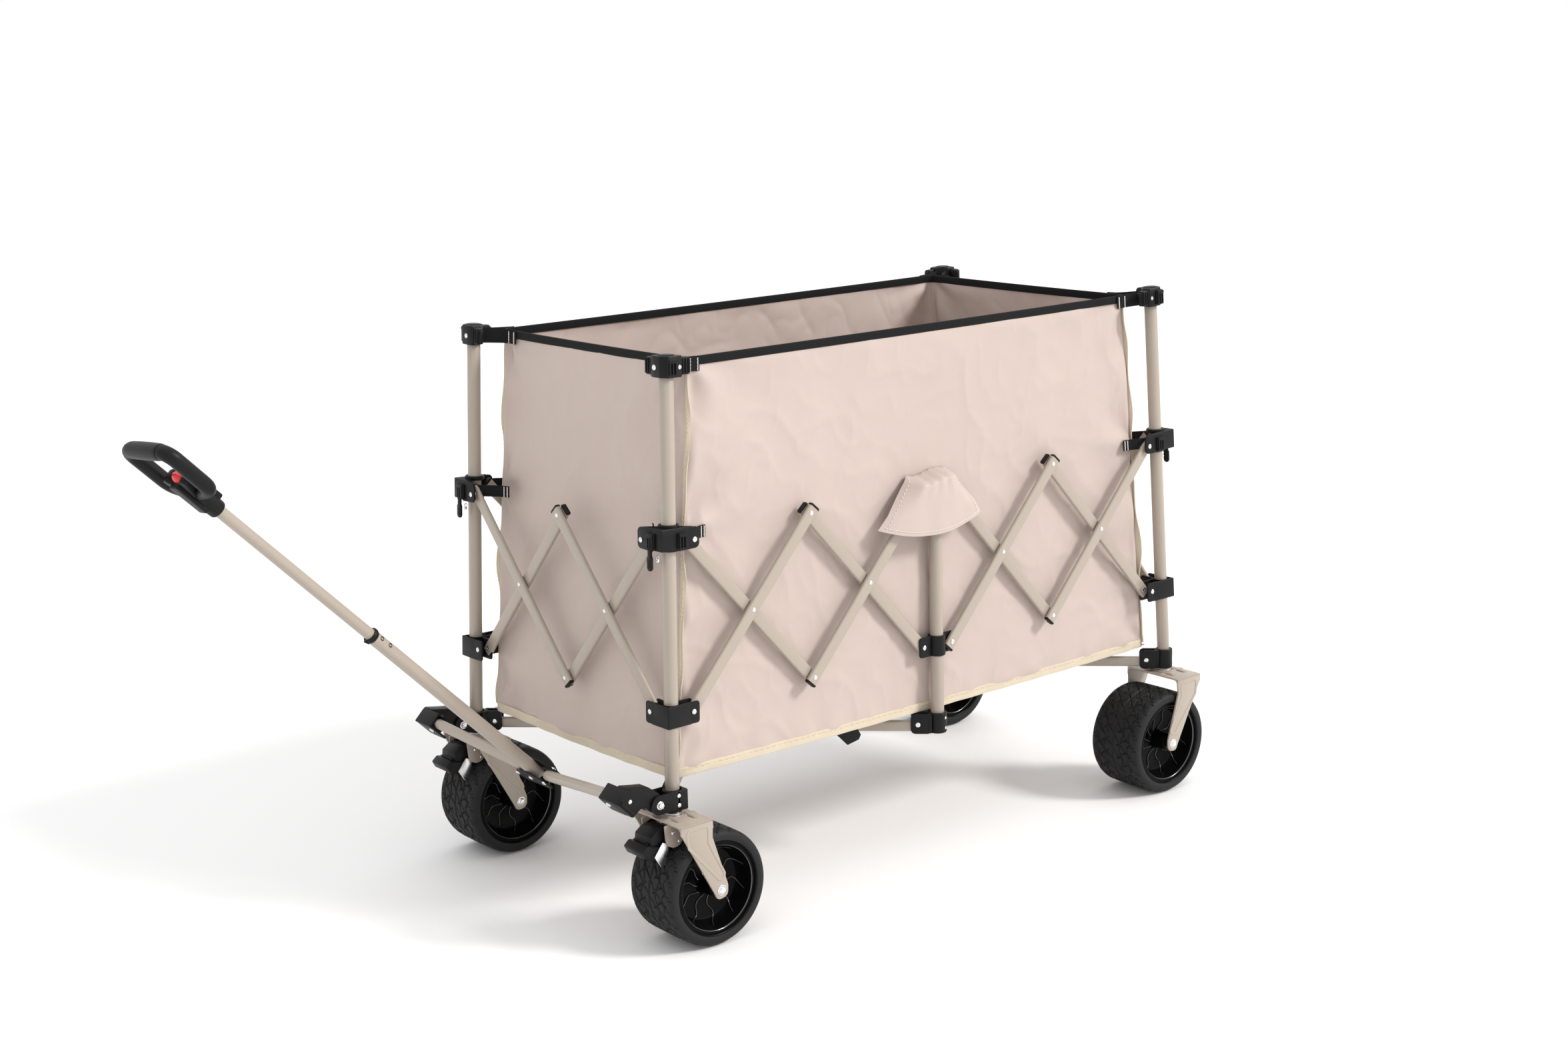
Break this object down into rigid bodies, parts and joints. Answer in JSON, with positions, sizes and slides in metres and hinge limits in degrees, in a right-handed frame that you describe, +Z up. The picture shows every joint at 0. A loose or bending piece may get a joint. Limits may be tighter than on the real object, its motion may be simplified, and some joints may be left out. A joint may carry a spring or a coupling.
{
  "type": "folding beach cart",
  "caption": "Folding fabric beach cart with scissor-link frame, wide wheels, swivel front casters with brakes and a telescoping pull bar.",
  "frame": {"origin": "on the ground, under the middle of the whole object's box", "axes": "+Z up, -X to the front, where the pull bar is, +Y to the cart's right"},
  "size_m": [1.8358, 0.6824, 0.9023],
  "materials": {
    "sand_paint": "satin powder coat, sand",
    "black_plastic": "fine grained moulded nylon",
    "tyre": "matt foamed tyre, grooved tread",
    "bag_fabric": "woven polyester, slight sheen",
    "red_plastic": "gloss",
    "hub_plastic": "glossy moulded wheel hub",
    "steel": "zinc plated rivets, bolts and washers",
    "webbing": "woven webbing and binding tape, black",
    "binding": "stitched cream binding tape"
  },
  "bodies": {
    "bag": {"bag": "bag_fabric"},
    "post_front_left": {"post_front_left": "sand_paint"},
    "post_front_right": {"post_front_right": "sand_paint"},
    "post_rear_left": {"post_rear_left": "sand_paint"},
    "post_rear_right": {"post_rear_right": "sand_paint"},
    "post_mid_left": {"post_mid_left": "sand_paint"},
    "post_mid_right": {"post_mid_right": "sand_paint"},
    "slider_front_left": {"slider_front_left": "black_plastic"},
    "slider_front_right": {"slider_front_right": "black_plastic"},
    "slider_rear_left": {"slider_rear_left": "black_plastic"},
    "slider_rear_right": {"slider_rear_right": "black_plastic"},
    "link_left_1_rising": {"link_left_1_rising": "sand_paint"},
    "link_left_1_falling": {"link_left_1_falling": "sand_paint"},
    "link_left_2_falling": {"link_left_2_falling": "sand_paint"},
    "link_left_2_rising": {"link_left_2_rising": "sand_paint"},
    "link_left_3_rising": {"link_left_3_rising": "sand_paint"},
    "link_left_3_falling": {"link_left_3_falling": "sand_paint"},
    "link_left_4_falling": {"link_left_4_falling": "sand_paint"},
    "link_left_4_rising": {"link_left_4_rising": "sand_paint"},
    "link_right_1_rising": {"link_right_1_rising": "sand_paint"},
    "link_right_1_falling": {"link_right_1_falling": "sand_paint"},
    "link_right_2_falling": {"link_right_2_falling": "sand_paint"},
    "link_right_2_rising": {"link_right_2_rising": "sand_paint"},
    "link_right_3_rising": {"link_right_3_rising": "sand_paint"},
    "link_right_3_falling": {"link_right_3_falling": "sand_paint"},
    "link_right_4_falling": {"link_right_4_falling": "sand_paint"},
    "link_right_4_rising": {"link_right_4_rising": "sand_paint"},
    "link_front_1_rising": {"link_front_1_rising": "sand_paint"},
    "link_front_1_falling": {"link_front_1_falling": "sand_paint"},
    "link_front_2_falling": {"link_front_2_falling": "sand_paint"},
    "link_front_2_rising": {"link_front_2_rising": "sand_paint"},
    "link_rear_1_rising": {"link_rear_1_rising": "sand_paint"},
    "link_rear_1_falling": {"link_rear_1_falling": "sand_paint"},
    "link_rear_2_falling": {"link_rear_2_falling": "sand_paint"},
    "link_rear_2_rising": {"link_rear_2_rising": "sand_paint"},
    "base_hub_front": {"base_hub_front": "black_plastic"},
    "base_bar_front_left": {"base_bar_front_left": "sand_paint"},
    "base_bar_front_right": {"base_bar_front_right": "sand_paint"},
    "base_bar_front_mid_left": {"base_bar_front_mid_left": "sand_paint"},
    "base_bar_front_mid_right": {"base_bar_front_mid_right": "sand_paint"},
    "base_hub_rear": {"base_hub_rear": "black_plastic"},
    "base_bar_rear_left": {"base_bar_rear_left": "sand_paint"},
    "base_bar_rear_right": {"base_bar_rear_right": "sand_paint"},
    "base_bar_rear_mid_left": {"base_bar_rear_mid_left": "sand_paint"},
    "base_bar_rear_mid_right": {"base_bar_rear_mid_right": "sand_paint"},
    "pull_elbow_left": {"pull_elbow_left": "black_plastic"},
    "pull_elbow_right": {"pull_elbow_right": "black_plastic"},
    "pull_half_bar_left": {"pull_half_bar_left": "sand_paint"},
    "pull_half_bar_right": {"pull_half_bar_right": "sand_paint"},
    "pull_tube_lower": {"pull_tube_lower": "sand_paint"},
    "pull_tube_upper": {"pull_tube_upper": "black_plastic"},
    "grip_button": {"grip_button": "red_plastic"},
    "caster_left": {"caster_left": "sand_paint"},
    "brake_pedal_left": {"brake_pedal_left": "black_plastic"},
    "wheel_front_left": {"wheel_front_left": "tyre"},
    "wheel_rear_left": {"wheel_rear_left": "tyre"},
    "caster_right": {"caster_right": "sand_paint"},
    "brake_pedal_right": {"brake_pedal_right": "black_plastic"},
    "wheel_front_right": {"wheel_front_right": "tyre"},
    "wheel_rear_right": {"wheel_rear_right": "tyre"}
  },
  "joints": [
    {"name": "fold", "type": "slide", "parent": "bag", "child": "post_front_left", "axis": [0.8944, 0.4472, 0], "range_m": [0, 0.28206], "deforming": ["bag"]},
    {"name": "fold_front_right", "type": "slide", "parent": "bag", "child": "post_front_right", "axis": [0.8944, -0.4472, 0], "range_m": [0, 0.28256]},
    {"name": "fold_rear_left", "type": "slide", "parent": "bag", "child": "post_rear_left", "axis": [-0.8944, 0.4472, 0], "range_m": [0, 0.28256]},
    {"name": "fold_rear_right", "type": "slide", "parent": "bag", "child": "post_rear_right", "axis": [-0.8944, -0.4472, 0], "range_m": [0, 0.28256]},
    {"name": "fold_mid_left", "type": "slide", "parent": "bag", "child": "post_mid_left", "axis": [0, 1, 0], "range_m": [0, 0.12664]},
    {"name": "fold_mid_right", "type": "slide", "parent": "bag", "child": "post_mid_right", "axis": [0, -1, 0], "range_m": [0, 0.12664]},
    {"name": "slider_front_left_lift", "type": "slide", "parent": "post_front_left", "child": "slider_front_left", "axis": [0.0436, 0.0209, 0.9988], "range_m": [0, 0.07397]},
    {"name": "slider_front_right_lift", "type": "slide", "parent": "post_front_right", "child": "slider_front_right", "axis": [0.0436, -0.0209, 0.9988], "range_m": [0, 0.07397]},
    {"name": "slider_rear_left_lift", "type": "slide", "parent": "post_rear_left", "child": "slider_rear_left", "axis": [-0.0436, 0.0209, 0.9988], "range_m": [0, 0.07397]},
    {"name": "slider_rear_right_lift", "type": "slide", "parent": "post_rear_right", "child": "slider_rear_right", "axis": [-0.0436, -0.0209, 0.9988], "range_m": [0, 0.07397]},
    {"name": "link_left_1_rising_turn", "type": "hinge", "parent": "post_front_left", "child": "link_left_1_rising", "pos_m": [-0.1891, -0.274, 0.363], "axis": [0, -1, 0], "range_deg": [0, 23.79]},
    {"name": "link_left_1_falling_turn", "type": "hinge", "parent": "link_left_1_rising", "child": "link_left_1_falling", "pos_m": [-0.0701, -0.265, 0.495], "axis": [0, -1, 0], "range_deg": [-47.48, 0]},
    {"name": "link_left_2_falling_turn", "type": "hinge", "parent": "post_mid_left", "child": "link_left_2_falling", "pos_m": [0.2869, -0.265, 0.363], "axis": [0, -1, 0], "range_deg": [-23.79, 0]},
    {"name": "link_left_2_rising_turn", "type": "hinge", "parent": "link_left_2_falling", "child": "link_left_2_rising", "pos_m": [0.1679, -0.274, 0.495], "axis": [0, -1, 0], "range_deg": [0, 47.48]},
    {"name": "link_left_3_rising_turn", "type": "hinge", "parent": "post_mid_left", "child": "link_left_3_rising", "pos_m": [0.3449, -0.274, 0.363], "axis": [0, -1, 0], "range_deg": [0, 23.79]},
    {"name": "link_left_3_falling_turn", "type": "hinge", "parent": "link_left_3_rising", "child": "link_left_3_falling", "pos_m": [0.4639, -0.265, 0.495], "axis": [0, -1, 0], "range_deg": [-47.48, 0]},
    {"name": "link_left_4_falling_turn", "type": "hinge", "parent": "post_rear_left", "child": "link_left_4_falling", "pos_m": [0.8209, -0.265, 0.363], "axis": [0, -1, 0], "range_deg": [-23.79, 0]},
    {"name": "link_left_4_rising_turn", "type": "hinge", "parent": "link_left_4_falling", "child": "link_left_4_rising", "pos_m": [0.7019, -0.274, 0.495], "axis": [0, -1, 0], "range_deg": [0, 47.48]},
    {"name": "link_right_1_rising_turn", "type": "hinge", "parent": "post_front_right", "child": "link_right_1_rising", "pos_m": [-0.1891, 0.274, 0.363], "axis": [0, -1, 0], "range_deg": [0, 23.79]},
    {"name": "link_right_1_falling_turn", "type": "hinge", "parent": "link_right_1_rising", "child": "link_right_1_falling", "pos_m": [-0.0701, 0.265, 0.495], "axis": [0, -1, 0], "range_deg": [-47.48, 0]},
    {"name": "link_right_2_falling_turn", "type": "hinge", "parent": "post_mid_right", "child": "link_right_2_falling", "pos_m": [0.2869, 0.265, 0.363], "axis": [0, -1, 0], "range_deg": [-23.79, 0]},
    {"name": "link_right_2_rising_turn", "type": "hinge", "parent": "link_right_2_falling", "child": "link_right_2_rising", "pos_m": [0.1679, 0.274, 0.495], "axis": [0, -1, 0], "range_deg": [0, 47.48]},
    {"name": "link_right_3_rising_turn", "type": "hinge", "parent": "post_mid_right", "child": "link_right_3_rising", "pos_m": [0.3449, 0.274, 0.363], "axis": [0, -1, 0], "range_deg": [0, 23.79]},
    {"name": "link_right_3_falling_turn", "type": "hinge", "parent": "link_right_3_rising", "child": "link_right_3_falling", "pos_m": [0.4639, 0.265, 0.495], "axis": [0, -1, 0], "range_deg": [-47.48, 0]},
    {"name": "link_right_4_falling_turn", "type": "hinge", "parent": "post_rear_right", "child": "link_right_4_falling", "pos_m": [0.8209, 0.265, 0.363], "axis": [0, -1, 0], "range_deg": [-23.79, 0]},
    {"name": "link_right_4_rising_turn", "type": "hinge", "parent": "link_right_4_falling", "child": "link_right_4_rising", "pos_m": [0.7019, 0.274, 0.495], "axis": [0, -1, 0], "range_deg": [0, 47.48]},
    {"name": "link_front_1_rising_turn", "type": "hinge", "parent": "post_front_left", "child": "link_front_1_rising", "pos_m": [-0.2331, -0.238, 0.363], "axis": [1, 0, 0], "range_deg": [0, 23.79]},
    {"name": "link_front_1_falling_turn", "type": "hinge", "parent": "link_front_1_rising", "child": "link_front_1_falling", "pos_m": [-0.2241, -0.119, 0.495], "axis": [1, 0, 0], "range_deg": [-47.48, 0]},
    {"name": "link_front_2_falling_turn", "type": "hinge", "parent": "post_front_right", "child": "link_front_2_falling", "pos_m": [-0.2241, 0.238, 0.363], "axis": [1, 0, 0], "range_deg": [-23.79, 0]},
    {"name": "link_front_2_rising_turn", "type": "hinge", "parent": "link_front_2_falling", "child": "link_front_2_rising", "pos_m": [-0.2331, 0.119, 0.495], "axis": [1, 0, 0], "range_deg": [0, 47.48]},
    {"name": "link_rear_1_rising_turn", "type": "hinge", "parent": "post_rear_left", "child": "link_rear_1_rising", "pos_m": [0.8649, -0.238, 0.363], "axis": [1, 0, 0], "range_deg": [0, 23.79]},
    {"name": "link_rear_1_falling_turn", "type": "hinge", "parent": "link_rear_1_rising", "child": "link_rear_1_falling", "pos_m": [0.8559, -0.119, 0.495], "axis": [1, 0, 0], "range_deg": [-47.48, 0]},
    {"name": "link_rear_2_falling_turn", "type": "hinge", "parent": "post_rear_right", "child": "link_rear_2_falling", "pos_m": [0.8559, 0.238, 0.363], "axis": [1, 0, 0], "range_deg": [-23.79, 0]},
    {"name": "link_rear_2_rising_turn", "type": "hinge", "parent": "link_rear_2_falling", "child": "link_rear_2_rising", "pos_m": [0.8649, 0.119, 0.495], "axis": [1, 0, 0], "range_deg": [0, 47.48]},
    {"name": "hub_front_rise", "type": "slide", "parent": "bag", "child": "base_hub_front", "axis": [0.4285, 0, 0.9036], "range_m": [0, 0.29489]},
    {"name": "base_bar_front_left_turn", "type": "hinge", "parent": "post_front_left", "child": "base_bar_front_left", "pos_m": [-0.21908, -0.24746, 0.226], "axis": [0.7068, -0.7074, 0], "range_deg": [0, 67.19]},
    {"name": "base_bar_front_right_turn", "type": "hinge", "parent": "post_front_right", "child": "base_bar_front_right", "pos_m": [-0.20777, 0.25878, 0.226], "axis": [-0.7068, -0.7074, 0], "range_deg": [0, 67.19]},
    {"name": "base_bar_front_mid_left_turn", "type": "hinge", "parent": "post_mid_left", "child": "base_bar_front_mid_left", "pos_m": [0.28743, -0.25334, 0.226], "axis": [0.6993, 0.7148, 0], "range_deg": [0, 67.71]},
    {"name": "base_bar_front_mid_right_turn", "type": "hinge", "parent": "post_mid_right", "child": "base_bar_front_mid_right", "pos_m": [0.29862, 0.2419, 0.226], "axis": [-0.6993, 0.7148, 0], "range_deg": [0, 67.71]},
    {"name": "hub_rear_rise", "type": "slide", "parent": "bag", "child": "base_hub_rear", "axis": [-0.4285, 0, 0.9036], "range_m": [0, 0.29489]},
    {"name": "base_bar_rear_left_turn", "type": "hinge", "parent": "post_rear_left", "child": "base_bar_rear_left", "pos_m": [0.83957, -0.25878, 0.226], "axis": [0.7068, 0.7074, 0], "range_deg": [0, 67.19]},
    {"name": "base_bar_rear_right_turn", "type": "hinge", "parent": "post_rear_right", "child": "base_bar_rear_right", "pos_m": [0.85088, 0.24746, 0.226], "axis": [-0.7068, 0.7074, 0], "range_deg": [0, 67.19]},
    {"name": "base_bar_rear_mid_left_turn", "type": "hinge", "parent": "post_mid_left", "child": "base_bar_rear_mid_left", "pos_m": [0.33318, -0.2419, 0.226], "axis": [0.6993, -0.7148, 0], "range_deg": [0, 67.71]},
    {"name": "base_bar_rear_mid_right_turn", "type": "hinge", "parent": "post_mid_right", "child": "base_bar_rear_mid_right", "pos_m": [0.34437, 0.25334, 0.226], "axis": [-0.6993, -0.7148, 0], "range_deg": [0, 67.71]},
    {"name": "pull_bar_lift", "type": "hinge", "parent": "post_front_left", "child": "pull_elbow_left", "pos_m": [-0.2711, -0.276, 0.234], "axis": [0, 1, 0], "range_deg": [-35, 45]},
    {"name": "pull_bar_lift_right", "type": "hinge", "parent": "post_front_right", "child": "pull_elbow_right", "pos_m": [-0.2711, 0.276, 0.234], "axis": [0, 1, 0], "range_deg": [-35.1, 45.1]},
    {"name": "pull_half_bar_left_turn", "type": "hinge", "parent": "pull_elbow_left", "child": "pull_half_bar_left", "pos_m": [-0.32767, -0.238, 0.25239], "axis": [0.7071, 0, 0.7071], "range_deg": [-57.81, 0]},
    {"name": "pull_half_bar_right_turn", "type": "hinge", "parent": "pull_elbow_right", "child": "pull_half_bar_right", "pos_m": [-0.32767, 0.238, 0.25239], "axis": [0.7071, 0, 0.7071], "range_deg": [0, 57.81]},
    {"name": "pull_tube_follow", "type": "slide", "parent": "pull_elbow_left", "child": "pull_tube_lower", "axis": [0.5425, -0.6413, -0.5425], "range_m": [0, 0.19718]},
    {"name": "pull_tube_telescope", "type": "slide", "parent": "pull_tube_lower", "child": "pull_tube_upper", "axis": [-0.7071, 0, 0.7071], "range_m": [-0.3, 0]},
    {"name": "grip_button_press", "type": "slide", "parent": "pull_tube_upper", "child": "grip_button", "axis": [0.7071, 0, -0.7071], "range_m": [0, 0.004], "stiffness_N_per_m": 600},
    {"name": "caster_swivel_left", "type": "hinge", "parent": "post_front_left", "child": "caster_left", "pos_m": [-0.23606, -0.27574, 0.208], "axis": [0, 0, 1], "continuous": true},
    {"name": "brake_pedal_left_press", "type": "hinge", "parent": "caster_left", "child": "brake_pedal_left", "pos_m": [-0.2641, -0.27574, 0.189], "axis": [0, 1, 0], "range_deg": [-18, 0]},
    {"name": "wheel_spin_front_left", "type": "hinge", "parent": "caster_left", "child": "wheel_front_left", "pos_m": [-0.19406, -0.27574, 0.092], "axis": [0, 1, 0], "continuous": true},
    {"name": "wheel_spin_rear_left", "type": "hinge", "parent": "post_rear_left", "child": "wheel_rear_left", "pos_m": [0.82586, -0.27574, 0.092], "axis": [0, 1, 0], "continuous": true},
    {"name": "caster_swivel_right", "type": "hinge", "parent": "post_front_right", "child": "caster_right", "pos_m": [-0.23606, 0.27574, 0.208], "axis": [0, 0, 1], "continuous": true},
    {"name": "brake_pedal_right_press", "type": "hinge", "parent": "caster_right", "child": "brake_pedal_right", "pos_m": [-0.2641, 0.27574, 0.189], "axis": [0, 1, 0], "range_deg": [-18, 0]},
    {"name": "wheel_spin_front_right", "type": "hinge", "parent": "caster_right", "child": "wheel_front_right", "pos_m": [-0.19406, 0.27574, 0.092], "axis": [0, 1, 0], "continuous": true},
    {"name": "wheel_spin_rear_right", "type": "hinge", "parent": "post_rear_right", "child": "wheel_rear_right", "pos_m": [0.82586, 0.27574, 0.092], "axis": [0, 1, 0], "continuous": true}
  ],
  "couplings": [
    {"joint": "fold_front_right", "follows": "fold", "ratio": 1},
    {"joint": "fold_rear_left", "follows": "fold", "ratio": 1},
    {"joint": "fold_rear_right", "follows": "fold", "ratio": 1},
    {"joint": "fold_mid_left", "follows": "fold", "ratio": 0.44721},
    {"joint": "fold_mid_right", "follows": "fold", "ratio": 0.44721},
    {"joint": "slider_front_left_lift", "follows": "fold", "ratio": 0.26048},
    {"joint": "slider_front_right_lift", "follows": "fold", "ratio": 0.26048},
    {"joint": "slider_rear_left_lift", "follows": "fold", "ratio": 0.26048},
    {"joint": "slider_rear_right_lift", "follows": "fold", "ratio": 0.26048},
    {"joint": "link_left_1_rising_turn", "follows": "fold", "rad_per_m": 1.466},
    {"joint": "link_left_1_falling_turn", "follows": "fold", "rad_per_m": -2.9321},
    {"joint": "link_left_2_falling_turn", "follows": "fold", "rad_per_m": -1.466},
    {"joint": "link_left_2_rising_turn", "follows": "fold", "rad_per_m": 2.9321},
    {"joint": "link_left_3_rising_turn", "follows": "fold", "rad_per_m": 1.466},
    {"joint": "link_left_3_falling_turn", "follows": "fold", "rad_per_m": -2.9321},
    {"joint": "link_left_4_falling_turn", "follows": "fold", "rad_per_m": -1.466},
    {"joint": "link_left_4_rising_turn", "follows": "fold", "rad_per_m": 2.9321},
    {"joint": "link_right_1_rising_turn", "follows": "fold", "rad_per_m": 1.466},
    {"joint": "link_right_1_falling_turn", "follows": "fold", "rad_per_m": -2.9321},
    {"joint": "link_right_2_falling_turn", "follows": "fold", "rad_per_m": -1.466},
    {"joint": "link_right_2_rising_turn", "follows": "fold", "rad_per_m": 2.9321},
    {"joint": "link_right_3_rising_turn", "follows": "fold", "rad_per_m": 1.466},
    {"joint": "link_right_3_falling_turn", "follows": "fold", "rad_per_m": -2.9321},
    {"joint": "link_right_4_falling_turn", "follows": "fold", "rad_per_m": -1.466},
    {"joint": "link_right_4_rising_turn", "follows": "fold", "rad_per_m": 2.9321},
    {"joint": "link_front_1_rising_turn", "follows": "fold", "rad_per_m": 1.466},
    {"joint": "link_front_1_falling_turn", "follows": "fold", "rad_per_m": -2.9321},
    {"joint": "link_front_2_falling_turn", "follows": "fold", "rad_per_m": -1.466},
    {"joint": "link_front_2_rising_turn", "follows": "fold", "rad_per_m": 2.9321},
    {"joint": "link_rear_1_rising_turn", "follows": "fold", "rad_per_m": 1.466},
    {"joint": "link_rear_1_falling_turn", "follows": "fold", "rad_per_m": -2.9321},
    {"joint": "link_rear_2_falling_turn", "follows": "fold", "rad_per_m": -1.466},
    {"joint": "link_rear_2_rising_turn", "follows": "fold", "rad_per_m": 2.9321},
    {"joint": "hub_front_rise", "follows": "fold", "ratio": 1.0437},
    {"joint": "base_bar_front_left_turn", "follows": "fold", "rad_per_m": 4.1512},
    {"joint": "base_bar_front_right_turn", "follows": "fold", "rad_per_m": 4.1512},
    {"joint": "base_bar_front_mid_left_turn", "follows": "fold", "rad_per_m": 4.1838},
    {"joint": "base_bar_front_mid_right_turn", "follows": "fold", "rad_per_m": 4.1838},
    {"joint": "hub_rear_rise", "follows": "fold", "ratio": 1.0437},
    {"joint": "base_bar_rear_left_turn", "follows": "fold", "rad_per_m": 4.1512},
    {"joint": "base_bar_rear_right_turn", "follows": "fold", "rad_per_m": 4.1512},
    {"joint": "base_bar_rear_mid_left_turn", "follows": "fold", "rad_per_m": 4.1838},
    {"joint": "base_bar_rear_mid_right_turn", "follows": "fold", "rad_per_m": 4.1838},
    {"joint": "pull_bar_lift_right", "follows": "pull_bar_lift", "ratio": 1},
    {"joint": "pull_half_bar_left_turn", "follows": "fold", "rad_per_m": -3.5712},
    {"joint": "pull_half_bar_right_turn", "follows": "fold", "rad_per_m": 3.5712},
    {"joint": "pull_tube_follow", "follows": "fold", "ratio": 0.69732}
  ]
}
